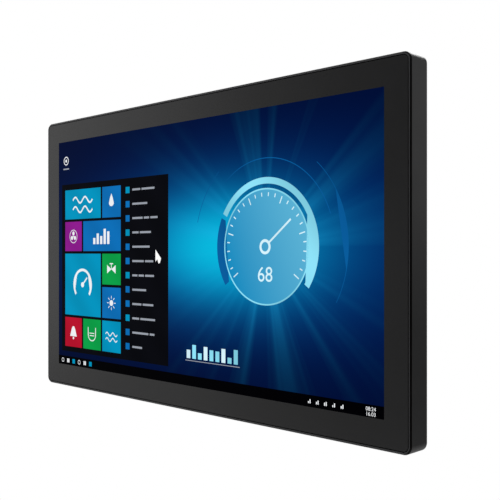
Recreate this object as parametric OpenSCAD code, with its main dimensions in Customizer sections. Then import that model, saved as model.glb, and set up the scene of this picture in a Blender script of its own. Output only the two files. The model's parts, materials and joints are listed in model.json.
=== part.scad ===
// Industrial touch panel computer: a 21.5 inch glass-fronted display in an aluminium frame,
// with a fanless computer in a box on its back. X runs to the right as seen from the front,
// Y runs from the glass to the back, and Z is up. The origin is the centre of the wall-mount
// hole pattern on the back face. Depths named *_d are measured from the front of the glass.

/* [Display] */
// Width of the picture area
active_w = 476.6; // [460:0.2:520]
// Height of the picture area
active_h = 268.1; // [260:0.1:300]
// From the edge of the picture to the outside of the frame
border = 25.4; // [24:0.2:32]
// Thickness of the cover glass
glass_t = 3; // [2:0.1:4]
// Gap between the glass and the rim of the frame
glass_gap = 0.25; // [0.15:0.05:0.6]
// Thickness of the touch sensor film
sensor_t = 0.3; // [0.2:0.05:0.5]
// Thickness of the clear adhesive between sensor and display
bond_t = 0.3; // [0.2:0.05:0.5]
// Adhesive tape between the glass and the frame's ledge
tape_t = 0.8; // [0.5:0.1:1.2]
// Display module beyond the picture, left and right
module_side = 9.5; // [8:0.5:10.5]
// Display module beyond the picture, top and bottom
module_top = 12; // [11:0.5:12.5]
// Thickness of the liquid crystal cell
cell_t = 1.4; // [1:0.1:2]
// Thickness of the stack of diffuser films
film_t = 0.8; // [0.5:0.1:1.5]
// Thickness of the light guide plate
guide_t = 3; // [2.5:0.1:4]
// Thickness of the reflector sheet
reflector_t = 0.3; // [0.2:0.1:0.6]
// Wall of the steel tray behind the display
tray_wall = 1; // [0.8:0.1:1.4]
// Light emitting diodes along the bottom edge
led_count = 40; // [20:1:50]

/* [Frame] */
// Depth of the frame's side wall
frame_d = 23; // [22:0.2:30]
// Outer corner radius of the frame
frame_r = 7.5; // [6.5:0.5:14]
// Chamfer along the frame's front edge
chamfer = 1.3; // [0.8:0.1:1.6]
// Flat rim between the chamfer and the glass
rim_w = 0.9; // [0.6:0.1:1.4]
// Thickness of the side wall
wall = 3; // [2.8:0.1:3.4]
// Thickness of the ledge that carries the glass
ledge_t = 2.5; // [2:0.1:3]
// Gap around the display module in the ledge
module_gap = 1; // [0.9:0.1:1.3]
// Radius of the screw bosses
boss_r = 4; // [3.6:0.1:4.4]

/* [Rear cover] */
// Thickness of the rear cover's plate
cover_t = 1.5; // [1.2:0.1:2]
// Thickness of the gasket under the cover
gasket_t = 0.8; // [0.5:0.1:1.2]
// Width of the step that the cover lies in
rebate_w = 1.5; // [1.2:0.1:1.8]
// Width of the computer box
box_w = 380; // [374:1:420]
// Height of the computer box
box_h = 210; // [200:1:220]
// Depth of the box behind the frame
box_d = 26; // [26:0.5:32]
// How far the box centre lies above the centre of the screen
box_z = -5; // [-12:1:6]
// Wall of the box
box_wall = 1.6; // [1.2:0.1:2]
// Corner radius of the box
box_r = 6; // [4:0.5:10]
// Spacing of the larger wall-mount hole pattern
mount_wide = 100; // [98:1:102]
// Spacing of the smaller wall-mount hole pattern
mount_narrow = 75; // [70:1:78]
// Radius of the wall-mount holes
mount_hole_r = 2; // [1.6:0.1:2.2]
// Cooling slots in the top and bottom walls of the box
slot_count = 20; // [10:1:24]

/* [Heat sink] */
// Height of the heat sink's lower edge above the bottom of the box
sink_floor = 46; // [42:1:60]
// Gap between the heat sink's flange and what is beside it
sink_gap = 2.4; // [1:0.1:4]
// Width of the flange round the fins
sink_flange = 9; // [8.6:0.1:10]
// Thickness of the heat sink base
sink_base_t = 4; // [3:0.5:5]
// Thickness of a fin
fin_t = 2.2; // [1.4:0.1:3]
// Number of fins
fin_count = 14; // [8:1:16]

/* [Boards] */
// Width of the main board
board_w = 230; // [224:1:232]
// Height of the main board
board_h = 140; // [134:1:146]
// Thickness of the boards
board_t = 1.6; // [1.2:0.1:2]
// Length of the board standoffs
standoff_l = 20; // [19:0.5:21]
// Side of the processor package
cpu_w = 38; // [30:1:44]
// Radius of the three-millimetre screws
screw_r = 1.5; // [1.3:0.1:1.6]

/* [Ports and buttons] */
// Gap between neighbouring ports
port_gap = 9; // [8:0.5:10]
// Clearance of a port in its cut-out
port_clear = 0.25; // [0.15:0.05:0.4]
// How far the ports stand out of the box
port_proud = 0.4; // [0.2:0.1:0.8]
// Radius of the power button's cap
power_cap_r = 4.3; // [3.8:0.1:4.4]
// Travel of the power button
power_travel = 1.5; // [1:0.1:2]
// Radius of the reset button's cap
reset_cap_r = 2.2; // [1.8:0.1:2.3]
// Clearance between a button and its barrel
slide_gap = 0.1; // [0.08:0.01:0.14]

/* [Hidden] */
$fn = 48;

// Depths behind the front of the glass
total_d = frame_d + box_d;
ledge_d = glass_t + tape_t;
ledge_back_d = ledge_d + ledge_t;
module_d = glass_t + sensor_t + bond_t;
film_d = module_d + cell_t;
guide_d = film_d + film_t;
reflector_d = guide_d + guide_t;
tray_floor_d = reflector_d + reflector_t;
tray_back_d = tray_floor_d + tray_wall;
cover_d = frame_d - cover_t;
gasket_d = cover_d - gasket_t;
box_back_t = cover_t;
box_floor_d = total_d - box_back_t;
board_back_d = box_floor_d - standoff_l;
board_d = board_back_d - board_t;
front_y = -total_d;

// Outlines
frame_w = active_w + 2 * border;
frame_h = active_h + 2 * border;
lip = chamfer + rim_w;
glass_w = frame_w - 2 * (lip + glass_gap);
glass_h = frame_h - 2 * (lip + glass_gap);
glass_r = frame_r - lip - glass_gap;
module_w = active_w + 2 * module_side;
module_h = active_h + 2 * module_top;
opening_w = module_w + 2 * module_gap;
opening_h = module_h + 2 * module_gap;
opening_r = 3;
inner_w = frame_w - 2 * wall;
inner_h = frame_h - 2 * wall;
inner_r = frame_r - wall;
sensor_edge = 6;
cell_edge = 4;
guide_edge = 2;
guide_w = active_w + 2 * guide_edge;
guide_h = active_h + 2 * guide_edge;
led_room = 3;
fit = 0.2;

// Fasteners
thread_gap = 0.05;
bore_r = screw_r + thread_gap;
clear_r = screw_r + 0.2;
head_r = 2 * screw_r;
head_h = 1.8;
boss_inset = boss_r - 0.4;
boss_x = inner_w / 2 - boss_inset;
boss_z = inner_h / 2 - boss_inset;
top_boss_count = 5;
side_boss_count = 2;
clamp_pitch = 97;
clamp_w = 14;
clamp_t = 1.2;
clamp_reach = 8;
cover_screw_l = 8;

// Box and heat sink
box_bottom = box_z - box_h / 2;
box_top = box_z + box_h / 2;
box_inside = box_w / 2 - box_wall;
box_edge = 1.2;
nut_r = mount_hole_r + 1.8;
sink_left = mount_wide / 2 + nut_r + sink_gap;
sink_right = box_inside - sink_gap;
sink_low = box_bottom + sink_floor;
sink_top = box_top - box_wall - sink_gap - 2;
sink_w = sink_right - sink_left - 2 * sink_flange;
sink_h = sink_top - sink_low - 2 * sink_flange;
sink_x = (sink_left + sink_right) / 2;
sink_z = (sink_low + sink_top) / 2;
sink_base_d = board_back_d + 8;
sink_fin_d = sink_base_d + sink_base_t;
sink_screw_l = 6;
slot_w = 3;
slot_l = 14;
slot_pitch = (box_w - 60) / slot_count;

// Boards
edge_gap = 3.4;
board_x = box_inside - edge_gap - board_w / 2;
board_z = box_bottom + box_wall + 1 + board_h / 2;
board_left = board_x - board_w / 2;
board_bottom = board_z - board_h / 2;
board_top = board_z + board_h / 2;
reset_x = board_left - 9;
power_x = board_left - 27;
power_board_left = 2 * edge_gap - box_inside;
power_board_right = power_x - 20;
power_board_w = power_board_right - power_board_left;
power_board_h = 78;
power_board_x = (power_board_left + power_board_right) / 2;
power_board_z = board_bottom + power_board_h / 2;
standoff_edge = 5;
standoff_af = 5;
top_hole_z = min(board_top - standoff_edge, mount_narrow / 2 - nut_r - sink_gap - standoff_af / 2);
cpu_x = sink_x - 8;
cpu_z = sink_z - 25;
cpu_t = 2.3;
pad_t = 0.5;

// Ports, from left to right along the bottom edge of the main board
com_w = 31;
hdmi_w = 16;
lan_w = 16;
usb_w = 14.5;
ports_left = board_left + 14;
com_x = [ports_left + com_w / 2, ports_left + 1.5 * com_w + port_gap];
hdmi_x = com_x[1] + com_w / 2 + port_gap + hdmi_w / 2;
lan_x = [hdmi_x + hdmi_w / 2 + port_gap + lan_w / 2, hdmi_x + hdmi_w / 2 + 2 * port_gap + 1.5 * lan_w];
usb_x = [lan_x[1] + lan_w / 2 + port_gap + usb_w / 2, lan_x[1] + lan_w / 2 + 2 * port_gap + 1.5 * usb_w];
inlet_x = power_board_x;
inlet_w = 16.5;
inlet_h = 8.6;
inlet_pitch = 5.08;
com_h = 12.5;
com_shell_h = 8.4;
com_shell_w = 17;
com_screw_x = 12.5;
com_reach = 5.6;
hdmi_h = 6.4;
lan_h = 13.5;
usb_h = 15.6;

// Push switches on the bottom wall: [place along X, barrel radius, flange radius, cap radius]
power_switch = [power_x, 6, 7.4, power_cap_r];
reset_switch = [reset_x, 3.5, 4.8, reset_cap_r];
switch_d = frame_d + box_d / 2;
flange_t = 1.5;
cap_proud = 0.6;
step_l = 4;
shoulder_t = 1.5;
rest_gap = 0.1;
shoulder_extra = 0.5;
barrel_end_t = 1.5;
spring_l = 5.4;
cavity_l = rest_gap + shoulder_t + power_travel + spring_l;
barrel_l = step_l + cavity_l + barrel_end_t;
wire_r = 0.35;

// ---------- Shared shapes ----------

// A rectangle with round corners, in the plane of the screen
module rounded(w, h, r) {
  square([w - 2 * r, h], center = true);
  square([w, h - 2 * r], center = true);
  for (sx = [-1, 1], sz = [-1, 1]) translate([sx * (w / 2 - r), sz * (h / 2 - r)]) circle(r);
}

// Extrudes a shape drawn in the plane of the screen, from depth d backwards by t
module layer(d, t) {
  translate([0, front_y + d + t, 0]) rotate([90, 0, 0]) linear_extrude(t) children();
}

module place(x, d, z) {
  translate([x, front_y + d, z]) children();
}

// A cylinder that runs backwards from depth d
module rod(x, d, z, r, l) {
  place(x, d, z) rotate([-90, 0, 0]) cylinder(r = r, h = l);
}

// A hexagonal rod, by its width across the flats
module hex_rod(x, d, z, across, l) {
  place(x, d, z) rotate([-90, 0, 0]) cylinder(d = across / cos(30), h = l, $fn = 6);
}

// A block centred in X and Z that runs backwards from depth d
module block(x, d, z, w, t, h) {
  place(x - w / 2, d, z - h / 2) cube([w, t, h]);
}

// A rounded slab whose front edge is chamfered by c
module chamfered_slab(w, h, r, t, c) {
  layer(c, t - c) rounded(w, h, r);
  for (sx = [-1, 1], sz = [-1, 1])
    place(sx * (w / 2 - r), 0, sz * (h / 2 - r)) rotate([-90, 0, 0]) cylinder(r1 = r - c, r2 = r, h = c);
  translate([0, front_y, r - h / 2]) linear_extrude(h - 2 * r)
    polygon([[c - w / 2, 0], [w / 2 - c, 0], [w / 2, c], [-w / 2, c]]);
  translate([r - w / 2, front_y, 0]) rotate([90, 0, 90]) linear_extrude(w - 2 * r)
    polygon([[0, c - h / 2], [0, h / 2 - c], [c, h / 2], [c, -h / 2]]);
}

function spread(count, span) = [for (i = [1:count]) span * (i / (count + 1) - 0.5)];

// Places of the screws that hold the rear cover: corners, top and bottom edges, sides
function cover_bosses() = concat(
  [for (sx = [-1, 1], sz = [-1, 1]) [sx * boss_x, sz * boss_z]],
  [for (x = spread(top_boss_count, 2 * boss_x), sz = [-1, 1]) [x, sz * boss_z]],
  [for (z = spread(side_boss_count, 2 * boss_z), sx = [-1, 1]) [sx * boss_x, z]]
);

function clamp_places() = [for (i = [-1:1], sx = [-1, 1]) [sx, i * clamp_pitch]];

function square_pattern(s) = [for (sx = [-1, 1], sz = [-1, 1]) [sx * s / 2, sz * s / 2]];

function mount_places() = concat(square_pattern(mount_wide), square_pattern(mount_narrow));

function sink_screws() = [for (sx = [-1, 1], sz = [-1, 1])
  [sink_x + sx * (sink_w + sink_flange) / 2, sink_z + sz * (sink_h + sink_flange) / 2]];

function board_holes() = [
  [board_left + standoff_edge, board_bottom + standoff_edge],
  [board_left + board_w - standoff_edge, board_bottom + standoff_edge],
  [board_left + standoff_edge, top_hole_z],
  [sink_left - standoff_edge - 3, top_hole_z],
];

function power_board_holes() = [for (sx = [-1, 1], sz = [-1, 1]) [
  power_board_x + sx * (power_board_w / 2 - standoff_edge),
  power_board_z + sz * (power_board_h / 2 - standoff_edge),
]];

// A pan-head screw that runs forwards from its head at depth d
module pan_screw(x, d, z, l, r = screw_r) {
  rod(x, d, z, 2 * r, head_h);
  rod(x, d - l, z, r, l);
}

// Points along a smooth curve through p, with n steps between neighbours
function curve_point(a, b, c, d, t) =
  0.5 * (2 * b + (c - a) * t + (2 * a - 5 * b + 4 * c - d) * t * t + (3 * b - a - 3 * c + d) * t * t * t);
function smooth(p, n) = [
  for (i = [0:len(p) - 2], k = [0:n - 1])
    curve_point(p[max(i - 1, 0)], p[i], p[i + 1], p[min(i + 2, len(p) - 1)], k / n),
  p[len(p) - 1]
];
function unit(v) = v / norm(v);
function tangent(p, i) = unit(p[min(i + 1, len(p) - 1)] - p[max(i - 1, 0)]);
function flat_to(u, t) = unit(u - t * (u * t));
// Side vectors carried along the curve without twist
function sides(p, u, i = 0) = i == len(p) ? [] :
  let (v = flat_to(u, tangent(p, i))) concat([v], sides(p, v, i + 1));

// A round tube of radius r along the points p
module tube(p, r, facets = 8) {
  u = sides(p, [0.36, 0.48, 0.8]);
  rings = [for (i = [0:len(p) - 1], k = [0:facets - 1])
    p[i] + r * (cos(360 * k / facets) * u[i] + sin(360 * k / facets) * cross(tangent(p, i), u[i]))];
  last = (len(p) - 1) * facets;
  polyhedron(rings, concat(
    [[for (k = [0:facets - 1]) k]],
    [[for (k = [facets - 1:-1:0]) last + k]],
    [for (i = [0:len(p) - 2], k = [0:facets - 1])
      [i * facets + k, (i + 1) * facets + (k + 1) % facets, i * facets + (k + 1) % facets]],
    [for (i = [0:len(p) - 2], k = [0:facets - 1])
      [i * facets + k, (i + 1) * facets + k, (i + 1) * facets + (k + 1) % facets]]
  ));
}

// Points given as [x, depth, z] turned into the part's own axes
function from_front(p) = [for (q = p) [q[0], front_y + q[1], q[2]]];

// ---------- Glass and display ----------

module cover_glass() {
  color([0.03, 0.03, 0.035]) layer(0, glass_t) rounded(glass_w, glass_h, glass_r);
}

module glass_tape() {
  color([0.08, 0.08, 0.08]) layer(glass_t, tape_t) difference() {
    rounded(glass_w, glass_h, glass_r);
    rounded(opening_w + 1, opening_h + 1, opening_r);
  }
}

module touch_sensor() {
  color([0.5, 0.55, 0.6]) layer(glass_t, sensor_t)
    square([active_w + 2 * sensor_edge, active_h + 2 * sensor_edge], center = true);
}

module optical_bond() {
  color([0.8, 0.85, 0.9]) layer(glass_t + sensor_t, bond_t)
    square([active_w + 2 * cell_edge, active_h + 2 * cell_edge], center = true);
}

module lcd_cell() {
  color([0.05, 0.15, 0.45]) layer(module_d, cell_t)
    square([active_w + 2 * cell_edge, active_h + 2 * cell_edge], center = true);
}

module diffuser_films() {
  color([0.92, 0.92, 0.94]) layer(film_d, film_t) square([guide_w, guide_h], center = true);
}

module light_guide() {
  color([0.85, 0.93, 0.95]) layer(guide_d, guide_t) square([guide_w, guide_h], center = true);
}

module reflector_sheet() {
  color([0.97, 0.97, 0.97]) layer(reflector_d, reflector_t) square([guide_w, guide_h], center = true);
}

// A strip of diodes below the light guide, shining up into its edge
module led_bar() {
  strip_t = 1;
  led_h = 1.2;
  led_pitch = active_w / led_count;
  strip_z = -guide_h / 2 - led_room;
  color([0.95, 0.9, 0.6]) {
    place(-active_w / 2, guide_d, strip_z) cube([active_w, guide_t, strip_t]);
    for (i = [0:led_count - 1]) translate([(i + 0.5 - led_count / 2) * led_pitch, 0, 0])
      block(0, guide_d + 0.3, strip_z + strip_t + led_h / 2, 4, guide_t - 0.6, led_h);
  }
}

// The plastic frame that holds the cell, films and light guide apart
module lcd_mid_frame() {
  ring_w = module_w - 2 * tray_wall;
  ring_h = module_h - 2 * tray_wall;
  color([0.12, 0.12, 0.13]) {
    layer(module_d, cell_t) difference() {
      square([ring_w, ring_h], center = true);
      square([active_w + 2 * (cell_edge + fit), active_h + 2 * (cell_edge + fit)], center = true);
    }
    layer(film_d, tray_floor_d - film_d) difference() {
      square([ring_w, ring_h], center = true);
      translate([-guide_w / 2 - fit, -guide_h / 2 - led_room])
        square([guide_w + 2 * fit, guide_h + led_room + fit]);
    }
  }
}

module lcd_back_tray() {
  color([0.72, 0.74, 0.76]) difference() {
    layer(module_d, tray_back_d - module_d) square([module_w, module_h], center = true);
    layer(module_d - 1, tray_floor_d - module_d + 1)
      square([module_w - 2 * tray_wall, module_h - 2 * tray_wall], center = true);
    rod(backlight_exit[0], tray_floor_d - 1, backlight_exit[1], 1.9, tray_wall + 2);
  }
}

driver_x = 20;
driver_w = 170;
driver_h = 28;
driver_z = -module_h / 2 + 10 + driver_h / 2;
panel_board_t = 1.2;

module lcd_driver_board() {
  back_d = tray_back_d + panel_board_t;
  color([0.1, 0.35, 0.2]) {
    block(driver_x, tray_back_d, driver_z, driver_w, panel_board_t, driver_h);
    block(driver_x - 40, back_d, driver_z, 14, 1.2, 14);
    block(driver_x + 5, back_d, driver_z - 4, 10, 1.2, 10);
    for (i = [0:5]) block(driver_x + 35 + 7 * i, back_d, driver_z - 6, 3, 1.5, 5);
  }
}

touch_x = -150;
touch_w = 70;
touch_h = 24;
touch_z = -module_h / 2 + 8 + touch_h / 2;

module touch_controller() {
  color([0.08, 0.25, 0.4]) {
    block(touch_x, tray_back_d, touch_z, touch_w, panel_board_t, touch_h);
    block(touch_x + 20, tray_back_d + panel_board_t, touch_z + 3, 9, 1.1, 9);
    block(touch_x - 27, tray_back_d + panel_board_t, touch_z + 5, 8, 3.5, 5);
  }
}

// The sensor's tail, folded round the bottom edge of the display module
module touch_flex() {
  flex_t = 0.15;
  flex_w = 30;
  a = glass_t + 0.1;
  bend_z = -module_h / 2 - module_gap / 2;
  end_d = tray_back_d + panel_board_t;
  start_z = -active_h / 2 - sensor_edge;
  end_z = touch_z - 3;
  color([0.75, 0.5, 0.15]) translate([touch_x - flex_w / 2, front_y, 0]) rotate([90, 0, 90])
    linear_extrude(flex_w) polygon([
      [a, start_z], [a, bend_z - flex_t], [end_d + flex_t, bend_z - flex_t], [end_d + flex_t, end_z],
      [end_d, end_z], [end_d, bend_z], [a + flex_t, bend_z], [a + flex_t, start_z],
    ]);
}

// ---------- Frame ----------

module front_frame() {
  color([0.13, 0.13, 0.135]) difference() {
    union() {
      difference() {
        chamfered_slab(frame_w, frame_h, frame_r, frame_d, chamfer);
        layer(-1, ledge_d + 1) rounded(frame_w - 2 * lip, frame_h - 2 * lip, frame_r - lip);
        layer(0, frame_d) rounded(opening_w, opening_h, opening_r);
        layer(ledge_back_d, frame_d) rounded(inner_w, inner_h, inner_r);
      }
      for (p = cover_bosses()) rod(p[0], ledge_back_d - 0.5, p[1], boss_r, cover_d - ledge_back_d + 0.5);
      for (p = clamp_places())
        rod(p[0] * boss_x, ledge_back_d - 0.5, p[1], boss_r, tray_back_d - ledge_back_d + 0.5);
    }
    layer(gasket_d, frame_d) difference() {
      rounded(inner_w + 2 * rebate_w, inner_h + 2 * rebate_w, inner_r + rebate_w);
      rounded(inner_w, inner_h, inner_r);
    }
    for (p = cover_bosses()) rod(p[0], cover_d - cover_screw_l - 1, p[1], bore_r, cover_screw_l + 2);
    for (p = clamp_places()) rod(p[0] * boss_x, ledge_d + 0.8, p[1], bore_r, tray_back_d);
  }
}

// Steel strips that hold the display module down on the glass
module lcd_clamps() {
  outer = inner_w / 2 - fit;
  inner = module_w / 2 - clamp_reach;
  color([0.75, 0.76, 0.78]) for (p = clamp_places()) difference() {
    block(p[0] * (outer + inner) / 2, tray_back_d, p[1], outer - inner, clamp_t, clamp_w);
    rod(p[0] * boss_x, tray_back_d - 1, p[1], clear_r, clamp_t + 2);
  }
}

module clamp_screws() {
  color([0.8, 0.8, 0.8])
    for (p = clamp_places()) pan_screw(p[0] * boss_x, tray_back_d + clamp_t, p[1], clamp_t + 3.6);
}

module cover_gasket() {
  color([0.05, 0.05, 0.05]) layer(gasket_d, gasket_t) difference() {
    rounded(inner_w + 2 * (rebate_w - fit), inner_h + 2 * (rebate_w - fit), inner_r + rebate_w - fit);
    rounded(inner_w + 2 * fit, inner_h + 2 * fit, inner_r + fit);
  }
}

// ---------- Rear cover ----------

module box_outline(w, h, r) {
  translate([0, box_z]) rounded(w, h, r);
}

// The box's outside, with a chamfer round its back edge
module box_outside() {
  layer(cover_d, total_d - box_edge - cover_d) box_outline(box_w, box_h, box_r);
  translate([0, 0, box_z]) mirror([0, 1, 0]) translate([0, total_d, 0])
    chamfered_slab(box_w, box_h, box_r, 2 * box_edge, box_edge);
}

// A cut through the bottom wall of the box, centred at x and at depth d
module io_cut(x, d, w, h) {
  place(x - w / 2, d - h / 2, box_bottom - 1) cube([w, h, box_wall + 2]);
}

module io_bore(x, d, r) {
  place(x, d, box_bottom - 1) cylinder(r = r, h = box_wall + 2);
}

// Cut-out for a port that stands on the back of a board
module port_cut(x, w, h) {
  io_cut(x, board_back_d + h / 2, w + 2 * port_clear, h + 2 * port_clear);
}

module io_cuts() {
  for (x = com_x) {
    io_cut(x, board_back_d + com_h / 2, com_shell_w + 2 * port_clear, com_shell_h + 2 * port_clear);
    for (s = [-1, 1]) io_bore(x + s * com_screw_x, board_back_d + com_h / 2, 3);
  }
  port_cut(hdmi_x, hdmi_w, hdmi_h);
  for (x = lan_x) port_cut(x, lan_w, lan_h);
  for (x = usb_x) port_cut(x, usb_w, usb_h);
  port_cut(inlet_x, inlet_w, inlet_h);
  for (s = [power_switch, reset_switch]) io_bore(s[0], switch_d, s[1] + fit);
}

module cooling_slots() {
  for (i = [0:slot_count - 1])
    place((i + 0.5 - slot_count / 2) * slot_pitch - slot_w / 2, frame_d + 6, box_top - box_wall - 1)
      cube([slot_w, slot_l, box_wall + 2]);
}

module rear_cover() {
  color([0.16, 0.16, 0.165]) difference() {
    union() {
      layer(cover_d, cover_t)
        rounded(inner_w + 2 * (rebate_w - fit), inner_h + 2 * (rebate_w - fit), inner_r + rebate_w - fit);
      box_outside();
    }
    layer(cover_d - 1, box_floor_d - cover_d + 1)
      box_outline(box_w - 2 * box_wall, box_h - 2 * box_wall, box_r - box_wall);
    layer(box_floor_d - 1, box_back_t + 2) translate([sink_x, sink_z]) rounded(sink_w, sink_h, 3);
    for (p = cover_bosses()) rod(p[0], cover_d - 1, p[1], clear_r, cover_t + 2);
    for (p = mount_places()) rod(p[0], box_floor_d - 1, p[1], mount_hole_r, box_back_t + 2);
    for (p = sink_screws()) {
      rod(p[0], box_floor_d - 1, p[1], clear_r, box_back_t + 1);
      sunk_head(p);
    }
    rod(ground_x, cover_d - 1, ground_z, ground_r + fit, cover_t + 2);
    io_cuts();
    cooling_slots();
  }
}

module cover_screws() {
  color([0.2, 0.2, 0.2])
    for (p = cover_bosses()) pan_screw(p[0], frame_d, p[1], cover_screw_l + cover_t - 1);
}

// Self-clinching nuts inside the box, behind the wall-mount holes
module wall_mount_nuts() {
  nut_l = 5;
  color([0.8, 0.78, 0.7]) for (p = mount_places()) difference() {
    rod(p[0], box_floor_d - nut_l, p[1], nut_r, nut_l);
    rod(p[0], box_floor_d - nut_l - 1, p[1], mount_hole_r, nut_l + 2);
  }
}

ground_x = -inner_w / 2 + 34;
ground_z = -inner_h / 2 + 22;
ground_r = 2;

// Earthing screw with its washer outside and nut inside
module ground_terminal() {
  washer_t = 0.8;
  color([0.85, 0.75, 0.3]) {
    difference() {
      rod(ground_x, frame_d, ground_z, 2.4 * ground_r, washer_t);
      rod(ground_x, frame_d - 1, ground_z, ground_r + thread_gap, washer_t + 2);
    }
    pan_screw(ground_x, frame_d + washer_t, ground_z, cover_t + washer_t + 4, ground_r);
    difference() {
      hex_rod(ground_x, cover_d - 3, ground_z, 3.46 * ground_r, 3);
      rod(ground_x, cover_d - 4, ground_z, ground_r + thread_gap, 5);
    }
  }
}

// ---------- Cooling ----------

// A finned plate whose flange is screwed to the inside of the box
module heat_sink() {
  outer_w = sink_w + 2 * sink_flange;
  outer_h = sink_h + 2 * sink_flange;
  fin_room = sink_w - 2;
  fin_pitch = (fin_room - fin_t) / (fin_count - 1);
  color([0.14, 0.14, 0.15]) difference() {
    union() {
      layer(sink_base_d, sink_base_t) translate([sink_x, sink_z]) rounded(outer_w, outer_h, 3);
      layer(sink_fin_d - 0.5, box_floor_d - sink_fin_d + 0.5) translate([sink_x, sink_z]) difference() {
        rounded(outer_w, outer_h, 3);
        square([sink_w, sink_h], center = true);
      }
      for (i = [0:fin_count - 1])
        place(sink_x - fin_room / 2 + i * fin_pitch, sink_fin_d - 0.5, sink_z - sink_h / 2 + 1)
          cube([fin_t, total_d - sink_fin_d + 0.5, sink_h - 2]);
    }
    for (p = sink_screws()) rod(p[0], box_floor_d - sink_screw_l, p[1], bore_r, sink_screw_l + 1);
  }
}

module sunk_head(p) {
  place(p[0], box_floor_d, p[1]) rotate([-90, 0, 0]) cylinder(r1 = screw_r, r2 = head_r, h = box_back_t);
}

module heat_sink_screws() {
  color([0.3, 0.3, 0.3]) for (p = sink_screws()) {
    rod(p[0], box_floor_d - sink_screw_l + 1, p[1], screw_r, sink_screw_l);
    sunk_head(p);
  }
}

module heat_block() {
  block_d = board_back_d + cpu_t + pad_t;
  color([0.7, 0.42, 0.28]) block(cpu_x, block_d, cpu_z, cpu_w + 4, sink_base_d - block_d, cpu_w + 4);
}

module thermal_pad() {
  color([0.45, 0.5, 0.75]) block(cpu_x, board_back_d + cpu_t, cpu_z, cpu_w - 8, pad_t, cpu_w - 8);
}

// ---------- Boards ----------

module processor() {
  color([0.2, 0.3, 0.25]) block(cpu_x, board_back_d, cpu_z, cpu_w, cpu_t, cpu_w);
}

module main_board() {
  color([0.05, 0.3, 0.15]) difference() {
    block(board_x, board_d, board_z, board_w, board_t, board_h);
    for (p = board_holes()) rod(p[0], board_d - 1, p[1], clear_r, board_t + 2);
  }
}

module power_board() {
  color([0.1, 0.2, 0.4]) difference() {
    block(power_board_x, board_d, power_board_z, power_board_w, board_t, power_board_h);
    for (p = power_board_holes()) rod(p[0], board_d - 1, p[1], clear_r, board_t + 2);
  }
}

// Chokes, transformer and capacitors of the supply, row above row
module power_board_parts() {
  color([0.25, 0.25, 0.3]) {
    for (sx = [-1, 1]) block(power_board_x + 8 * sx, board_back_d, power_board_z - 19, 12, 8, 12);
    block(power_board_x, board_back_d, power_board_z + 1, 22, 11, 22);
    for (i = [-1:1]) rod(power_board_x + 13 * i, board_back_d, power_board_z + 20, 5, 13);
  }
}

module board_standoffs() {
  color([0.8, 0.65, 0.3]) for (p = concat(board_holes(), power_board_holes())) difference() {
    hex_rod(p[0], board_back_d, p[1], standoff_af, standoff_l);
    rod(p[0], board_back_d - 1, p[1], bore_r, 7);
  }
}

module board_screws() {
  color([0.8, 0.8, 0.8]) for (p = concat(board_holes(), power_board_holes())) {
    rod(p[0], board_d - head_h, p[1], head_r, head_h);
    rod(p[0], board_d - 0.2, p[1], screw_r, board_t + 5);
  }
}

memory_x = board_left + 77;
memory_z = board_bottom + 56;
memory_w = 67.6;
memory_h = 30;
memory_rise = 3;

module memory_socket() {
  arm_w = 1.8;
  color([0.1, 0.1, 0.1]) difference() {
    union() {
      block(memory_x, board_back_d, memory_z - 2, memory_w + 4.4, 5.2, 6);
      for (s = [-1, 1]) translate([s * (memory_w / 2 + fit + arm_w / 2), 0, 0])
        block(memory_x, board_back_d, memory_z + 10, arm_w, 4.6, 20);
    }
    place(memory_x - memory_w / 2 - fit, board_back_d + memory_rise - 0.1, memory_z - 3)
      cube([memory_w + 2 * fit, 1.4, 40]);
  }
}

module memory_module() {
  chip_t = 1;
  color([0.1, 0.4, 0.2]) place(memory_x - memory_w / 2, board_back_d + memory_rise, memory_z - 2.8) {
    cube([memory_w, 1.2, memory_h]);
    for (i = [0:3]) translate([5 + i * 15.5, 1.2, 9]) cube([11, chip_t, 14]);
  }
}

drive_x = board_left + 19;
drive_z = board_bottom + 26;
drive_w = 22;
drive_l = 80;
drive_rise = 3.4;
drive_t = 0.8;
drive_end_z = drive_z + drive_l - 3.4;

module drive_socket() {
  color([0.12, 0.12, 0.12]) difference() {
    block(drive_x, board_back_d, drive_z, drive_w + 1, 4.8, 8);
    place(drive_x - drive_w / 2 - 0.1, board_back_d + drive_rise - 0.1, drive_z)
      cube([drive_w + 0.2, drive_t + 0.2, 10]);
  }
}

module drive_module() {
  back_d = board_back_d + drive_rise + drive_t;
  color([0.05, 0.25, 0.12]) difference() {
    union() {
      place(drive_x - drive_w / 2, board_back_d + drive_rise, drive_z + 0.2)
        cube([drive_w, drive_t, drive_l]);
      for (i = [0:2]) block(drive_x, back_d, drive_z + 18 + 20 * i, 14, 1.2, 14);
    }
    rod(drive_x, board_back_d, drive_end_z, 1.4, 6);
  }
}

// The post and the screw that hold the far end of the solid-state drive
module drive_screw() {
  color([0.8, 0.75, 0.6]) {
    difference() {
      rod(drive_x, board_back_d, drive_end_z, 2.6, drive_rise);
      rod(drive_x, board_back_d - 1, drive_end_z, 1.2 + thread_gap, drive_rise + 2);
    }
    rod(drive_x, board_back_d + drive_rise + drive_t, drive_end_z, 2.6, 1);
    rod(drive_x, board_back_d + 1, drive_end_z, 1.2, drive_rise + drive_t);
  }
}

cell_r = 10;
holder_x = board_left + 60;
holder_z = board_top - 32;

module battery_holder() {
  color([0.15, 0.15, 0.15]) difference() {
    rod(holder_x, board_back_d, holder_z, cell_r + 1.6, 4.4);
    rod(holder_x, board_back_d + 1, holder_z, cell_r + 0.2, 6);
    block(holder_x, board_back_d + 1, holder_z + cell_r + 1, 12, 6, 6);
  }
}

module coin_cell() {
  color([0.8, 0.8, 0.82]) rod(holder_x, board_back_d + 1, holder_z, cell_r, 3.2);
}

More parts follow.
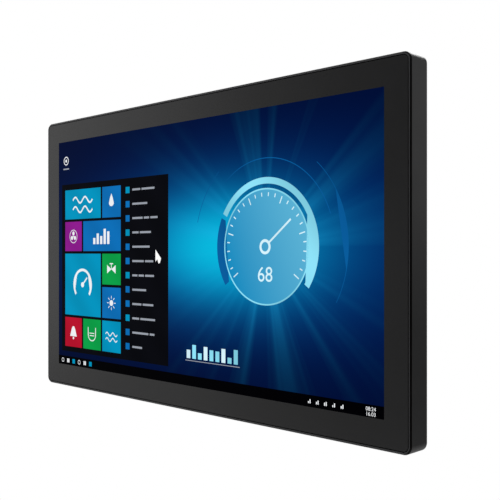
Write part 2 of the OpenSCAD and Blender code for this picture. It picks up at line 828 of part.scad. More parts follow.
module board_chokes() {
  color([0.3, 0.3, 0.32])
    for (i = [0:3]) block(cpu_x - cpu_w / 2 - 13, board_back_d, cpu_z - 21 + 14 * i, 10, 5, 10);
}

module board_capacitors() {
  color([0.55, 0.55, 0.6]) {
    for (i = [0:4]) rod(cpu_x + cpu_w / 2 + 12, board_back_d, cpu_z - 24 + 12 * i, 3.5, 6);
    for (i = [0:3]) rod(sink_left - 7, board_back_d, top_hole_z - 39 + 9 * i, 3.2, 9);
  }
}

// ---------- Ports ----------

// Local axes of a port: x along the wall, y away from the board, z into the box from its mouth
module port(x, proud = port_proud) {
  place(x, board_back_d, box_bottom - proud) children();
}

module usb_ports() {
  color([0.75, 0.76, 0.78]) for (x = usb_x) port(x) difference() {
    translate([-usb_w / 2, 0, 0]) cube([usb_w, usb_h, 17.5]);
    for (y = [1.2, 8.7]) translate([-6.55, y, -1]) cube([13.1, 5.7, 15]);
  }
}

module hdmi_port() {
  mouth = [[-7, 0], [7, 0], [7, 2.9], [5.4, 4.6], [-5.4, 4.6], [-7, 2.9]];
  color([0.7, 0.71, 0.73]) port(hdmi_x) difference() {
    translate([-hdmi_w / 2, 0, 0]) cube([hdmi_w, hdmi_h, 12]);
    translate([0, 0.9, -1]) linear_extrude(10) polygon(mouth);
  }
}

// Network jacks with the notch for the plug's latch
module lan_jacks() {
  color([0.72, 0.73, 0.75]) for (x = lan_x) port(x) difference() {
    translate([-lan_w / 2, 0, 0]) cube([lan_w, lan_h, 21.3]);
    translate([-5.95, 3.4, -1]) cube([11.9, 8.2, 14]);
    translate([-3.1, 1.4, -1]) cube([6.2, 2.1, 14]);
  }
}

// Contact tongues of the USB and HDMI ports, and the contact rows of the network jacks
module port_tongues() {
  color([0.1, 0.3, 0.8]) {
    for (x = usb_x) port(x) for (y = [1.2, 8.7]) translate([-5.6, y + 3.2, 1]) cube([11.2, 1.8, 13]);
    port(hdmi_x) translate([-5, 2.3, 1]) cube([10, 1.3, 8]);
    for (x = lan_x) port(x) translate([-4.4, 10.6, 4]) cube([8.8, 1, 9]);
  }
}

module com_outline(w, h) {
  slope = 1.1;
  polygon([[-w / 2, h / 2], [w / 2, h / 2], [w / 2 - slope, -h / 2], [slope - w / 2, -h / 2]]);
}

// Serial ports: a body inside the wall and a D-shaped shell that passes through it
module com_ports() {
  shell_t = 0.6;
  body_z = box_wall + fit;
  color([0.68, 0.69, 0.72]) for (x = com_x) port(x, 0) difference() {
    union() {
      translate([-com_w / 2, 0, body_z]) cube([com_w, com_h, 11]);
      translate([0, com_h / 2, -com_reach]) linear_extrude(com_reach + body_z + 0.5)
        com_outline(com_shell_w, com_shell_h);
    }
    translate([0, com_h / 2, -com_reach - 1]) linear_extrude(com_reach + 1)
      com_outline(com_shell_w - 2 * shell_t, com_shell_h - 2 * shell_t);
    for (s = [-1, 1]) translate([s * com_screw_x, com_h / 2, 0]) cylinder(r = bore_r, h = 8);
  }
}

module com_pins() {
  pin_pitch = 2.77;
  row_gap = 2.84;
  pin_l = com_reach - 0.6;
  color([0.85, 0.7, 0.3]) for (x = com_x) port(x, 0) translate([0, com_h / 2, -pin_l]) {
    for (i = [-2:2]) translate([i * pin_pitch, row_gap / 2, 0]) cylinder(r = 0.5, h = pin_l);
    for (i = [-1.5:1.5]) translate([i * pin_pitch, -row_gap / 2, 0]) cylinder(r = 0.5, h = pin_l);
  }
}

// Hexagonal posts beside each serial port, tapped for the plug's thumb screws
module com_jackscrews() {
  post_l = 5;
  body_z = box_wall + fit;
  color([0.8, 0.8, 0.82])
    for (x = com_x, s = [-1, 1]) port(x + s * com_screw_x, 0) translate([0, com_h / 2, 0]) difference() {
      union() {
        translate([0, 0, -post_l]) cylinder(d = 4.75 / cos(30), h = post_l + body_z, $fn = 6);
        cylinder(r = screw_r, h = body_z + 6);
      }
      translate([0, 0, -post_l - 1]) cylinder(r = 1.1, h = 6);
    }
}

module power_inlet() {
  color([0.1, 0.5, 0.25]) port(inlet_x) difference() {
    translate([-inlet_w / 2, 0, 0]) cube([inlet_w, inlet_h, 12]);
    translate([0.75 - inlet_w / 2, 0.7, -1]) cube([inlet_w - 1.5, inlet_h - 1.4, 10]);
  }
}

module power_inlet_pins() {
  color([0.8, 0.8, 0.8]) port(inlet_x) for (i = [-1:1])
    translate([i * inlet_pitch - 0.6, inlet_h / 2 - 0.5, 1.5]) cube([1.2, 1, 7.5]);
}

// ---------- Push switches ----------

// Local axis of a switch: z into the box from the outer face of the wall
module on_wall(s) {
  place(s[0], switch_d, box_bottom) children();
}

function shoulder_r(s) = s[3] + shoulder_extra;

module switch_body(s) {
  on_wall(s) difference() {
    union() {
      translate([0, 0, -flange_t]) cylinder(r = s[2], h = flange_t);
      translate([0, 0, -0.1]) cylinder(r = s[1], h = barrel_l + 0.1);
      for (side = [-1, 1]) translate([side * s[1] / 2 - 0.4, -1, barrel_l - 0.1]) cube([0.8, 2, 4]);
    }
    translate([0, 0, -flange_t - 1]) cylinder(r = s[3] + slide_gap, h = flange_t + step_l + 2);
    translate([0, 0, step_l]) cylinder(r = shoulder_r(s) + 0.15, h = cavity_l);
    if (s == power_switch) translate([0, 0, -flange_t - 1]) light_ring_cut();
  }
}

ring_in = power_cap_r + 0.6;
ring_out = power_cap_r + 1.6;
ring_t = 0.8;

module light_ring_cut() {
  difference() {
    cylinder(r = ring_out, h = 1 + ring_t);
    translate([0, 0, -1]) cylinder(r = ring_in, h = 3 + ring_t);
  }
}

module power_light_ring() {
  color([0.3, 0.6, 1]) on_wall(power_switch) translate([0, 0, -flange_t]) difference() {
    cylinder(r = ring_out - 0.05, h = ring_t);
    translate([0, 0, -1]) cylinder(r = ring_in + 0.05, h = ring_t + 2);
  }
}

module switch_nut(s) {
  on_wall(s) translate([0, 0, box_wall]) difference() {
    cylinder(r = 1.4 * s[1], h = 3, $fn = 6);
    translate([0, 0, -1]) cylinder(r = s[1] + thread_gap, h = 5);
  }
}

// The cap, with the shoulder that keeps it in the barrel
module switch_button(s) {
  on_wall(s) {
    translate([0, 0, -flange_t - cap_proud]) cylinder(r = s[3], h = flange_t + cap_proud + step_l + 1);
    translate([0, 0, step_l + rest_gap]) cylinder(r = shoulder_r(s), h = shoulder_t);
  }
}

// A coil spring from the shoulder to the closed end of the barrel
module switch_spring(s) {
  turns = 4;
  steps = 16;
  coil_r = shoulder_r(s) - 2 * wire_r;
  from = step_l + rest_gap + shoulder_t + wire_r + 0.02;
  rise = cavity_l - rest_gap - shoulder_t - 2 * (wire_r + 0.02);
  on_wall(s) tube([for (i = [0:turns * steps]) let (a = 360 * i / steps)
    [coil_r * cos(a), coil_r * sin(a), from + rise * i / (turns * steps)]], wire_r, 6);
}

module power_switch_body() { color([0.7, 0.71, 0.73]) switch_body(power_switch); }
module switch_nuts() { color([0.75, 0.75, 0.76]) for (s = [power_switch, reset_switch]) switch_nut(s); }
module power_button() { color([0.78, 0.79, 0.8]) switch_button(power_switch); }
module power_spring() { color([0.8, 0.8, 0.8]) switch_spring(power_switch); }
module reset_switch_body() { color([0.7, 0.71, 0.73]) switch_body(reset_switch); }
module reset_button() { color([0.6, 0.1, 0.1]) switch_button(reset_switch); }
module reset_spring() { color([0.8, 0.8, 0.8]) switch_spring(reset_switch); }

// ---------- Cables ----------

display_cable_x = board_left + 60;
backlight_exit = [active_w / 2 - 8, -guide_h / 2 - 2];
header_d = board_back_d + 4;

// The flat cable from the display's driver board, over the top edge of the main board
module display_cable() {
  cable_t = 0.8;
  cable_w = 20;
  path = smooth([
    [tray_back_d + 3, driver_z + 8], [14, driver_z + 30], [15, board_z], [16, board_top - 10],
    [20, board_top + 9], [board_back_d, board_top + 9], [header_d - 2, board_top - 1],
  ], 6);
  normal = [for (i = [0:len(path) - 1]) let (t = tangent(path, i)) [-t[1], t[0]]];
  color([0.85, 0.85, 0.8]) {
    translate([display_cable_x - cable_w / 2, front_y, 0]) rotate([90, 0, 90]) linear_extrude(cable_w)
      polygon(concat(
        [for (i = [0:len(path) - 1]) path[i] + normal[i] * cable_t / 2],
        [for (i = [len(path) - 1:-1:0]) path[i] - normal[i] * cable_t / 2]
      ));
    block(display_cable_x, tray_back_d + panel_board_t, driver_z + 6, cable_w + 4, 3.6, 6);
    block(display_cable_x, board_back_d, board_top - 4, cable_w + 4, 4, 6);
  }
}

// A plug on the back of a board, with the lead's end at its middle
module plug(x, z, h) {
  block(x, board_back_d, z, 5, 4.4, h);
}

// Supply leads, switch lead, touch lead and backlight lead, each with its plugs
module harness_cables() {
  lead_r = 1.1;
  step = 5;
  plug_x = board_left + 3.5;
  power_plug_x = power_board_x + power_board_w / 2 - 6;
  power_z = [power_board_z + 4, power_board_z + 8];
  switch_z = board_bottom + 34;
  touch_lead_z = board_z + 12;
  color([0.6, 0.1, 0.1]) {
    for (z = power_z) tube(smooth(from_front([
      [power_plug_x + 1, board_back_d + 2.4, z], [power_plug_x + 10, board_back_d + 5, z + 1],
      [plug_x - 13, board_back_d + 5, z + 3], [plug_x - 1, board_back_d + 2.4, z + 4],
    ]), step), lead_r);
    plug(power_plug_x, power_z[0] + 2, 9);
    plug(plug_x, power_z[0] + 6, 9);
  }
  color([0.1, 0.1, 0.6]) {
    tube(smooth(from_front([
      [power_switch[0], switch_d, box_bottom + barrel_l + 5.2],
      [power_switch[0] + 2, switch_d - 2, box_bottom + 28],
      [board_left - 14, board_back_d + 8, switch_z - 4], [plug_x - 1, board_back_d + 2.4, switch_z],
    ]), step), lead_r);
    plug(plug_x, switch_z, 5);
  }
  color([0.2, 0.2, 0.2]) {
    tube(smooth(from_front([
      [touch_x - 14, tray_back_d + panel_board_t + 3, touch_z + 9], [touch_x - 8, 16, touch_z + 26],
      [board_left - 30, 19, board_z - 4], [board_left - 18, board_back_d, board_z + 8],
      [board_left - 8, board_back_d + 5, touch_lead_z], [plug_x - 1, board_back_d + 2.4, touch_lead_z],
    ]), step), lead_r);
    plug(plug_x, touch_lead_z, 5);
    block(touch_x - 14, tray_back_d + panel_board_t, touch_z + 8, 8, 4, 4);
  }
  color([0.8, 0.8, 0.8]) {
    tube(smooth(from_front([
      [backlight_exit[0], reflector_d + 0.4, backlight_exit[1]],
      [backlight_exit[0], 13, backlight_exit[1] + 1],
      [backlight_exit[0] - 12, 15, backlight_exit[1] + 24], [board_x + 60, 16, board_z - 30],
      [board_x + 10, 16, board_top - 20], [display_cable_x + 30, 18, board_top + 3],
      [display_cable_x + 27, board_back_d - 1, board_top + 7],
      [display_cable_x + 22, board_back_d + 2.4, board_top - 2],
    ]), step), lead_r);
    plug(display_cable_x + 22, board_top - 4.6, 5);
  }
}

cover_glass();
glass_tape();
touch_sensor();
optical_bond();
lcd_cell();
diffuser_films();
light_guide();
reflector_sheet();
led_bar();
lcd_mid_frame();
lcd_back_tray();
lcd_driver_board();
touch_flex();
touch_controller();
front_frame();
lcd_clamps();
clamp_screws();
cover_gasket();
rear_cover();
cover_screws();
wall_mount_nuts();
heat_sink();
heat_sink_screws();
heat_block();
thermal_pad();
processor();
main_board();
board_standoffs();
board_screws();
memory_socket();
memory_module();
drive_socket();
drive_module();
drive_screw();
battery_holder();
coin_cell();
board_chokes();
board_capacitors();
power_board();
power_board_parts();
power_inlet();
power_inlet_pins();
com_ports();
com_pins();
com_jackscrews();
hdmi_port();
lan_jacks();
usb_ports();
port_tongues();
power_switch_body();
power_light_ring();
power_button();
power_spring();
reset_switch_body();
reset_button();
reset_spring();
switch_nuts();
display_cable();
harness_cables();
ground_terminal();
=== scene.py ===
import json
import math

import bmesh
import bpy
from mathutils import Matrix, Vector


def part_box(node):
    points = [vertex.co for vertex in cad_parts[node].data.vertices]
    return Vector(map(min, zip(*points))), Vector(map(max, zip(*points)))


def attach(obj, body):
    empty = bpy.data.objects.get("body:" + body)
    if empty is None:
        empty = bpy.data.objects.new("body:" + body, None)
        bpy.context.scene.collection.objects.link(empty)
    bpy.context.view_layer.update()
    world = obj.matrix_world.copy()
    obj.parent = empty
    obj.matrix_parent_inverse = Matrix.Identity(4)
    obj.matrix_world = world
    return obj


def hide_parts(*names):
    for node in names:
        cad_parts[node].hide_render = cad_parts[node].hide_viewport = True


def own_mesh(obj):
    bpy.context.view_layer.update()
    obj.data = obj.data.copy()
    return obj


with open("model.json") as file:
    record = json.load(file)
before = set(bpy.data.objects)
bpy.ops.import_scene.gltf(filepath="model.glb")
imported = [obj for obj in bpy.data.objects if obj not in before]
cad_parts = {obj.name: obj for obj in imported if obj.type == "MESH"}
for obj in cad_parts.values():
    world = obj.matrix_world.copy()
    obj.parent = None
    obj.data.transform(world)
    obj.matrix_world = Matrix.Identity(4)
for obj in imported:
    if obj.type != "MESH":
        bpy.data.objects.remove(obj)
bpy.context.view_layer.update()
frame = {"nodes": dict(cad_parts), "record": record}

MM = 0.001
NODES = frame["nodes"]

# ---------------------------------------------------------------- places taken from the frame
glass_low, glass_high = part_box("cover_glass")
bond_low, bond_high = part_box("optical_bond")
# the clear bond reaches this far past the picture on every side
BOND_MARGIN = 4 * MM
PIC_LEFT = bond_low.x + BOND_MARGIN
PIC_RIGHT = bond_high.x - BOND_MARGIN
PIC_BOTTOM = bond_low.z + BOND_MARGIN
PIC_TOP = bond_high.z - BOND_MARGIN
PIC_W = (PIC_RIGHT - PIC_LEFT) / MM
PIC_H = (PIC_TOP - PIC_BOTTOM) / MM
FRONT = glass_low.y
# the straight top edge of the glass ends where its round corners begin
SAME = 0.01 * MM
TOP_EDGE = [v.co.x for v in NODES["cover_glass"].data.vertices if v.co.z > glass_high.z - SAME]
GLASS_CORNER = glass_high.x - max(TOP_EDGE)


# ---------------------------------------------------------------- node materials
class Nodes:
    """Helpers that add nodes and links to a node tree."""

    def __init__(self, tree):
        self.tree = tree

    def node(self, kind, **settings):
        n = self.tree.nodes.new(kind)
        for key, value in settings.items():
            setattr(n, key, value)
        return n

    def link(self, a, b):
        self.tree.links.new(a, b)

    def feed(self, socket, value):
        """Gives a socket a number, a colour, or another node's output."""
        if isinstance(value, (int, float, tuple)):
            socket.default_value = value
        else:
            self.link(value, socket)

    def math(self, operation, *values, clamp=False):
        n = self.node("ShaderNodeMath", operation=operation, use_clamp=clamp)
        for socket, value in zip(n.inputs, values):
            self.feed(socket, value)
        return n.outputs[0]

    def remap(self, value, low, high, from_low=0.3, from_high=0.7, curve="LINEAR"):
        """A value between two limits, by default those of most noise, spread over low to high."""
        n = self.node("ShaderNodeMapRange", interpolation_type=curve)
        n.inputs["From Min"].default_value = from_low
        n.inputs["From Max"].default_value = from_high
        n.inputs["To Min"].default_value = low
        n.inputs["To Max"].default_value = high
        self.link(value, n.inputs["Value"])
        return n.outputs[0]

    def mix(self, factor, a, b, blend="MIX"):
        n = self.node("ShaderNodeMix", data_type="RGBA", blend_type=blend)
        for socket, value in zip((n.inputs[0], n.inputs[6], n.inputs[7]), (factor, a, b)):
            self.feed(socket, value)
        return n.outputs[2]

    def mix_shaders(self, factor, a, b):
        n = self.node("ShaderNodeMixShader")
        for socket, value in zip(n.inputs, (factor, a.outputs[0], b.outputs[0])):
            self.feed(socket, value)
        return n.outputs[0]

    def dot(self, vector, direction):
        n = self.node("ShaderNodeVectorMath", operation="DOT_PRODUCT")
        n.inputs[1].default_value = direction
        self.link(vector, n.inputs[0])
        return n.outputs["Value"]


class Paint(Nodes):
    """A new Principled material."""

    def __init__(self, name):
        self.mat = bpy.data.materials.new(name)
        self.mat.use_nodes = True
        super().__init__(self.mat.node_tree)
        self.bsdf = self.tree.nodes["Principled BSDF"]
        self.coords = self.node("ShaderNodeTexCoord").outputs["Object"]

    def shader(self, **values):
        """Sets or links the shader's own sockets; Base_Color stands for Base Color."""
        for key, value in values.items():
            self.feed(self.bsdf.inputs[key.replace("_", " ")], value)

    def place(self):
        """The x, y and z of each point."""
        parts = self.node("ShaderNodeSeparateXYZ")
        self.link(self.coords, parts.inputs[0])
        return parts.outputs

    def noise(self, scale, detail=2.0, stretch=(1, 1, 1)):
        mapping = self.node("ShaderNodeMapping")
        mapping.inputs["Scale"].default_value = stretch
        self.link(self.coords, mapping.inputs["Vector"])
        n = self.node("ShaderNodeTexNoise")
        n.inputs["Scale"].default_value = scale
        n.inputs["Detail"].default_value = detail
        self.link(mapping.outputs[0], n.inputs["Vector"])
        return n.outputs["Fac"]

    def bump(self, height, distance):
        n = self.node("ShaderNodeBump")
        n.inputs["Strength"].default_value = 1.0
        n.inputs["Distance"].default_value = distance
        self.link(height, n.inputs["Height"])
        return n.outputs[0]


def linear(hex_colour, gain=1.0):
    """A colour written as 0xRRGGBB in screen values, as linear RGBA."""
    out = []
    for shift in (16, 8, 0):
        c = ((hex_colour >> shift) & 255) / 255
        c = c / 12.92 if c <= 0.04045 else ((c + 0.055) / 1.055) ** 2.4
        out.append(c * gain)
    return (*out, 1.0)


# cycles per metre of the broad clouds in a surface's tone and gloss
TONE_CLOUDS, GLOSS_CLOUDS = 18, 45


def surface(name, colour, rough, metal=0.0, grain=0.0, grain_size=0.4, spread=0.06, tone=0.12,
            stretch=(1, 1, 1)):
    """A moulded, painted or metal surface: grain (in mm) in the normal, uneven gloss and a little tone."""
    p = Paint(name)
    dark, light = linear(colour, 1 - tone), linear(colour, 1 + tone)
    fine = p.noise(1 / (grain_size * MM), 3.0, stretch)
    broad_gloss = p.remap(p.noise(GLOSS_CLOUDS, 3.0), rough - spread, rough + spread)
    fine_gloss = p.remap(fine, -spread / 2, spread / 2)
    p.shader(
        Base_Color=p.mix(p.remap(p.noise(TONE_CLOUDS, 4.0), 0, 1), dark, light),
        Roughness=p.math("ADD", broad_gloss, fine_gloss),
        Metallic=metal,
    )
    if grain:
        p.shader(Normal=p.bump(fine, grain * MM))
    return p.mat


# the y of a surface's normal: below these it faces the front, or slants towards it
FACES_FRONT, SLANTS_TO_FRONT = -0.97, -0.2
# painted shade: a near-black colour with a high metallic on a slanted front edge, in place of the dark room
# it reflects
PAINTED_EDGE_SHADE, EDGE_METALLIC = 0x030303, 0.8


def paint_edge_shade_and_lip_highlight(mat, lip_highlight=None):
    """Paints shade on the slanted front edge of a part, near black and dulled in place of the dark room it
    reflects, and can paint a paler highlight on its flat front lip.
    """
    p = Nodes(mat.node_tree)
    bsdf = p.tree.nodes["Principled BSDF"]
    normal = p.node("ShaderNodeSeparateXYZ")
    p.link(p.node("ShaderNodeNewGeometry").outputs["True Normal"], normal.inputs[0])
    flat = p.math("LESS_THAN", normal.outputs["Y"], FACES_FRONT)
    shaded_slant = p.math("SUBTRACT", p.math("LESS_THAN", normal.outputs["Y"], SLANTS_TO_FRONT), flat)
    # the slanted mask paints shade on the edge; the flat mask paints the highlight on the lip
    p.link(p.remap(shaded_slant, 0.0, EDGE_METALLIC, 0.0, 1.0), bsdf.inputs["Metallic"])
    tone = p.mix(shaded_slant, bsdf.inputs["Base Color"].links[0].from_socket, linear(PAINTED_EDGE_SHADE))
    if lip_highlight is not None:
        tone = p.mix(flat, tone, linear(lip_highlight))
    p.link(tone, bsdf.inputs["Base Color"])
    return mat


# painted highlight: a paler tone on the frame's flat front lip, in place of the light its rim reflects
PAINTED_LIP_HIGHLIGHT = 0x28282A
SATIN = surface("black_satin_frame", 0x09090A, 0.36, grain=0.012, grain_size=0.25, spread=0.03)
BLACK_FRAME = paint_edge_shade_and_lip_highlight(SATIN, PAINTED_LIP_HIGHLIGHT)
BLACK_COVER = surface("black_powder_coat", 0x18181B, 0.55, grain=0.06, grain_size=0.45,
                      spread=0.02, tone=0.05)
BLACK_SINK = surface("black_anodised_fins", 0x121214, 0.45, grain=0.01, grain_size=0.6, stretch=(1, 1, 0.05))
# the ground edge of the printed glass gets the same painted shade, near black and dulled
GLASS_PRINT = paint_edge_shade_and_lip_highlight(surface("printed_glass", 0x0D0D0E, 0.24, spread=0.02, tone=0.08))
STEEL = surface("zinc_steel", 0xB9BBBF, 0.32, metal=1.0, grain=0.01, grain_size=0.8, stretch=(0.15, 1, 1))
BRIGHT = surface("plated_shell", 0xC9CBCF, 0.24, metal=1.0, grain=0.006, grain_size=0.5, stretch=(0.2, 1, 1))
BLACK_SCREW = surface("black_screw", 0x1C1C1F, 0.38, metal=0.6, grain=0.01, grain_size=0.3)
BRASS = surface("brass", 0xC9A55A, 0.28, metal=1.0, grain=0.006, grain_size=0.5)
COPPER = surface("copper", 0xC9835A, 0.3, metal=1.0, grain=0.006, grain_size=0.5)
SWITCH = surface("switch_metal", 0xB6B8BC, 0.26, metal=1.0, grain=0.004, grain_size=0.5)
RUBBER = surface("black_rubber", 0x131314, 0.75, grain=0.03, grain_size=0.5)
PLASTIC = surface("black_moulding", 0x151517, 0.5, grain=0.02, grain_size=0.4)
BLUE_PLASTIC = surface("blue_moulding", 0x1A4FA8, 0.4, grain=0.01, grain_size=0.4)
GREEN_PLASTIC = surface("green_moulding", 0x1E7A41, 0.42, grain=0.01, grain_size=0.4)
RED_PLASTIC = surface("red_moulding", 0x9C1A1A, 0.35, grain=0.01, grain_size=0.4)
WHITE_PLASTIC = surface("white_film", 0xE6E7E9, 0.5, grain=0.004, grain_size=0.4, tone=0.04)
CLEAR_PLASTIC = surface("clear_sheet", 0xC8D2D6, 0.15, grain=0.002, grain_size=0.6, tone=0.04)
GREEN_BOARD = surface("green_board", 0x0F4A2A, 0.35, grain=0.03, grain_size=1.5)
BLUE_BOARD = surface("blue_board", 0x153A66, 0.35, grain=0.03, grain_size=1.5)
FLEX = surface("flex_film", 0xA87427, 0.35, grain=0.01, grain_size=0.8)
CHIP = surface("chip_package", 0x2A2D2C, 0.4, grain=0.01, grain_size=0.3)
CHOKE = surface("choke_body", 0x3B3C40, 0.55, grain=0.02, grain_size=0.4)
CAN = surface("capacitor_can", 0xA9ABB0, 0.3, metal=1.0, grain=0.004, grain_size=0.4)
PAD = surface("thermal_pad", 0x6D7896, 0.7, grain=0.02, grain_size=0.5)
LCD = surface("display_glass", 0x0A1030, 0.2, grain=0.001, grain_size=0.3)
CABLE = surface("cable_jacket", 0x1E1E20, 0.45, grain=0.01, grain_size=0.4)
RIBBON = surface("flat_cable", 0xD5D4CC, 0.5, grain=0.02, grain_size=1.27, stretch=(1, 0.02, 0.02))

SLOT_PAINT = {
    "clear_glass": GLASS_PRINT, "black_tape": RUBBER, "clear_film": CLEAR_PLASTIC, "lcd_glass": LCD,
    "white_film": WHITE_PLASTIC, "acrylic": CLEAR_PLASTIC, "led_strip": WHITE_PLASTIC,
    "black_plastic": PLASTIC, "steel": STEEL, "screw_steel": STEEL, "black_screw": BLACK_SCREW,
    "green_board": GREEN_BOARD, "blue_board": BLUE_BOARD, "flex_film": FLEX,
    "black_aluminium": BLACK_FRAME, "black_paint": BLACK_COVER, "copper": COPPER, "pad": PAD,
    "chip": CHIP, "choke": CHOKE, "can": CAN, "brass": BRASS, "port_shell": BRIGHT,
    "blue_plastic": BLUE_PLASTIC, "green_plastic": GREEN_PLASTIC, "switch_metal": SWITCH,
    "red_plastic": RED_PLASTIC, "cable": CABLE, "ribbon": RIBBON,
}


def glow(name, colour):
    """A lit surface with a faint unevenness, such as a lamp ring."""
    p = Paint(name)
    tint = p.mix(p.remap(p.noise(400, 2.0), 0, 1), linear(colour, 0.85), linear(colour))
    p.shader(Base_Color=linear(colour, 0.3), Emission_Color=tint, Emission_Strength=1.0, Roughness=0.3)
    return p.mat


SLOT_PAINT["light_ring"] = glow("ring_light", 0x4C9CFF)
for entry in frame["record"]["subparts"]:
    for node_slot in NODES[entry["node"]].material_slots:
        node_slot.material = SLOT_PAINT[entry["material_slot"]]
NODES["heat_sink"].material_slots[0].material = BLACK_SINK


def new_piece(name, mesh, material):
    """An object of the housing from a bmesh or a mesh."""
    data = mesh
    if isinstance(mesh, bmesh.types.BMesh):
        bmesh.ops.recalc_face_normals(mesh, faces=mesh.faces)
        data = bpy.data.meshes.new(name)
        mesh.to_mesh(data)
        mesh.free()
    data.materials.append(material)
    piece = bpy.data.objects.new(name, data)
    bpy.context.scene.collection.objects.link(piece)
    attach(piece, "housing")
    return piece


def join_loops(mesh, first, second):
    """Quads between two closed loops of as many points."""
    for i in range(len(first)):
        after = (i + 1) % len(first)
        mesh.faces.new((first[i], first[after], second[after], second[i]))


# ---------------------------------------------------------------- flat shapes for the picture
def at(u, v):
    """A point of the picture, in millimetres from its lower left corner, as (x, z)."""
    return PIC_LEFT + u * MM, PIC_BOTTOM + v * MM


def rectangle(u, v, w, h):
    return [(u, v), (u + w, v), (u + w, v + h), (u, v + h)]


def spoke(u, v, r, angle):
    """The point at a distance and an angle (in radians) from u, v."""
    return u + r * math.cos(angle), v + r * math.sin(angle)


def polygon(u, v, r, count):
    return [spoke(u, v, r, 2 * math.pi * i / count) for i in range(count)]


def arc(u, v, r, width, start, end, steps=40):
    """A band of a ring inside radius r, from start to end degrees."""
    angles = [math.radians(start + (end - start) * i / steps) for i in range(steps + 1)]
    return [spoke(u, v, r, a) for a in angles] + [spoke(u, v, r - width, a) for a in reversed(angles)]


def stroke(points, width):
    """A band along a line of points."""
    left, right = [], []
    for i, (u, v) in enumerate(points):
        before, after = points[max(i - 1, 0)], points[min(i + 1, len(points) - 1)]
        du, dv = after[0] - before[0], after[1] - before[1]
        size = math.hypot(du, dv)
        nu, nv = -dv / size * width / 2, du / size * width / 2
        left.append((u + nu, v + nv))
        right.append((u - nu, v - nv))
    return left + right[::-1]


class Layer:
    """Thin closed plates of one colour, between two depths behind the front of the glass."""

    def __init__(self, name, front, back, material):
        self.name, self.material = name, material
        self.front, self.back = FRONT + front * MM, FRONT + back * MM
        self.mesh = bmesh.new()

    def loop(self, outline, y):
        places = [at(u, v) for u, v in outline]
        return [self.mesh.verts.new((x, y, z)) for x, z in places]

    def add(self, *outlines):
        for outline in outlines:
            near, far = self.loop(outline, self.front), self.loop(outline, self.back)
            self.mesh.faces.new(near)
            self.mesh.faces.new(far[::-1])
            join_loops(self.mesh, near, far)
        return self

    def ring(self, u, v, r, width, steps=48):
        """A whole ring, closed on itself."""
        outer, inner = polygon(u, v, r, steps), polygon(u, v, r - width, steps)
        corners = ((outer, self.front), (outer, self.back), (inner, self.back), (inner, self.front))
        loops = [self.loop(outline, y) for outline, y in corners]
        for first, second in zip(loops, loops[1:] + loops[:1]):
            join_loops(self.mesh, first, second)
        return self

    def done(self):
        bmesh.ops.triangulate(self.mesh, faces=self.mesh.faces, ngon_method="EAR_CLIP")
        return new_piece(self.name, self.mesh, self.material)


# ---------------------------------------------------------------- the lit picture
BLACK = (0.0, 0.0, 0.0, 1.0)


def shine(paint, colour):
    """A colour that shines through the smooth glass, which reflects very little."""
    paint.shader(Base_Color=BLACK, Emission_Color=colour, Emission_Strength=1.0, Roughness=0.12, IOR=1.05)
    return paint.mat


def lit(name, colour, fade=0.12, size=60.0):
    """One colour, with a soft shading in slanted waves of a size in mm."""
    p = Paint(name)
    place = p.place()
    across = p.math("ADD", place["X"], place["Z"])
    wave = p.math("SINE", p.math("MULTIPLY", across, 2 * math.pi / (size * MM)))
    shade = p.math("MULTIPLY_ADD", wave, fade / 2, 1 - fade / 2)
    return shine(p, p.mix(1.0, linear(colour), shade, "MULTIPLY"))


def sweep(name, start_colour, end_colour, start, end):
    """A run from one colour to another between two points of the picture."""
    p = Paint(name)
    (x0, z0), (x1, z1) = at(*start), at(*end)
    way = Vector((x1 - x0, 0.0, z1 - z0))
    first, last = Vector((x0, 0.0, z0)).dot(way), Vector((x1, 0.0, z1)).dot(way)
    share = p.remap(p.dot(p.coords, way), 0.0, 1.0, first, last)
    return shine(p, p.mix(share, linear(start_colour), linear(end_colour)))


# the middle of the dial, in mm from the lower left corner of the picture
GAUGE = (345.0, 140.0)


def wallpaper():
    """Deep blue, with a bright haze and soft beams round the gauge; lengths are in picture widths."""
    p = Paint("picture_background")
    place = p.place()
    gx, gz = at(*GAUGE)
    across = p.math("DIVIDE", p.math("SUBTRACT", place["X"], gx), PIC_W * MM)
    up = p.math("DIVIDE", p.math("SUBTRACT", place["Z"], gz), PIC_W * MM)
    up_squared = p.math("MULTIPLY", up, up)

    def bell(offset, width, height):
        """1 at a point beside the gauge, falling off over a width and a height."""
        shifted = p.math("DIVIDE", p.math("SUBTRACT", across, offset), width)
        raised = p.math("DIVIDE", up_squared, height * height)
        total = p.math("ADD", p.math("MULTIPLY", shifted, shifted), raised)
        return p.math("EXPONENT", p.math("MULTIPLY", total, -1.0))

    base = p.mix(bell(-0.08, 0.55, 0.19), linear(0x010A2C), linear(0x022264))
    wide = p.mix(p.math("MULTIPLY", bell(-0.13, 0.29, 0.12), 0.85), base, linear(0x0268B8))
    near = p.mix(p.math("MULTIPLY", bell(-0.12, 0.19, 0.085), 0.95), wide, linear(0x06BCE0))
    distance = p.math("SQRT", p.math("ADD", p.math("MULTIPLY", across, across), up_squared))
    beams = p.node("ShaderNodeTexNoise", noise_dimensions="1D")
    beams.inputs["Scale"].default_value = 2.6
    beams.inputs["Detail"].default_value = 3.0
    p.link(p.math("ARCTAN2", up, across), beams.inputs["W"])
    reach = p.math("EXPONENT", p.math("MULTIPLY", distance, -10.5))
    ray = p.math("MULTIPLY", p.remap(beams.outputs["Fac"], 0.0, 0.8, 0.48, 0.7), reach, clamp=True)
    return shine(p, p.mix(ray, near, linear(0x22B4F0)))


# depths of the plates behind the front of the glass, in mm; sizes and places in the picture are in mm too
BACK, DEEP, PANEL, TILE, MARK, TOP = 2.9, 0.12, 0.10, 0.08, 0.06, 0.04
BAR_H = 10.5

background = Layer("picture_background", DEEP, BACK, wallpaper())
background.add(rectangle(0, 0, PIC_W, PIC_H))
background_piece = background.done()

